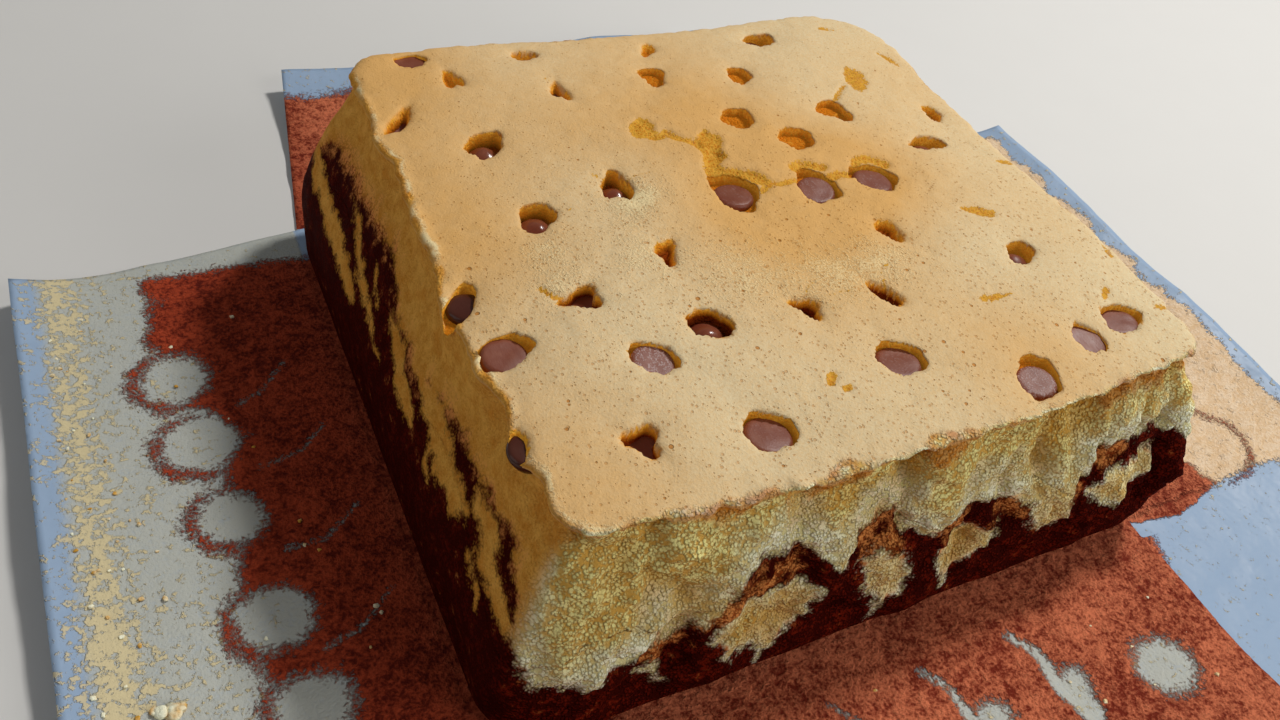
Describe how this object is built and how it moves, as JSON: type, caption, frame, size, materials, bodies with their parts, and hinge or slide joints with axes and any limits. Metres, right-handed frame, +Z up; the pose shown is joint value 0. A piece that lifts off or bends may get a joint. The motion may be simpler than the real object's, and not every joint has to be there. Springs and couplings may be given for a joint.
{
  "type": "castella sponge cake",
  "caption": "Square marbled castella sponge cake with a smooth baked crust, sunken chocolate chips and torn sides, standing on its peeled lining paper.",
  "frame": {"origin": "middle of the paper's flat underside, below the middle of the cake", "axes": "+X to the right along the torn front face, +Y towards the back, +Z up"},
  "size_m": [0.326, 0.312, 0.0647],
  "materials": {
    "plain_crumb": "open sponge crumb under a smooth tan crust, moist and matt",
    "cocoa_crumb": "dark reddish cocoa sponge crumb, matt",
    "baking_paper": "thin greaseproof paper with a cocoa crumb skin stuck to it",
    "chocolate": "milk chocolate, satin, with patches of pale bloom"
  },
  "bodies": {
    "root": {"plain_sponge": "plain_crumb", "cocoa_sponge": "cocoa_crumb", "lining_paper": "baking_paper", "chip_01": "chocolate", "chip_02": "chocolate", "chip_03": "chocolate", "chip_04": "chocolate", "chip_05": "chocolate", "chip_06": "chocolate", "chip_07": "chocolate", "chip_08": "chocolate", "chip_09": "chocolate", "chip_10": "chocolate", "chip_11": "chocolate", "chip_12": "chocolate", "chip_13": "chocolate", "chip_14": "chocolate", "chip_15": "chocolate", "chip_16": "chocolate", "chip_17": "chocolate", "chip_18": "chocolate", "chip_19": "chocolate", "chip_20": "chocolate", "chip_21": "chocolate", "chip_22": "chocolate", "chip_23": "chocolate", "chip_24": "chocolate", "chip_25": "chocolate", "chip_26": "chocolate", "chip_27": "chocolate", "chip_28": "chocolate", "chip_29": "chocolate", "chip_30": "chocolate", "chip_31": "chocolate", "chip_32": "chocolate", "chip_33": "chocolate", "chip_34": "chocolate", "chip_35": "chocolate", "chip_36": "chocolate", "chip_37": "chocolate"}
  },
  "joints": []
}
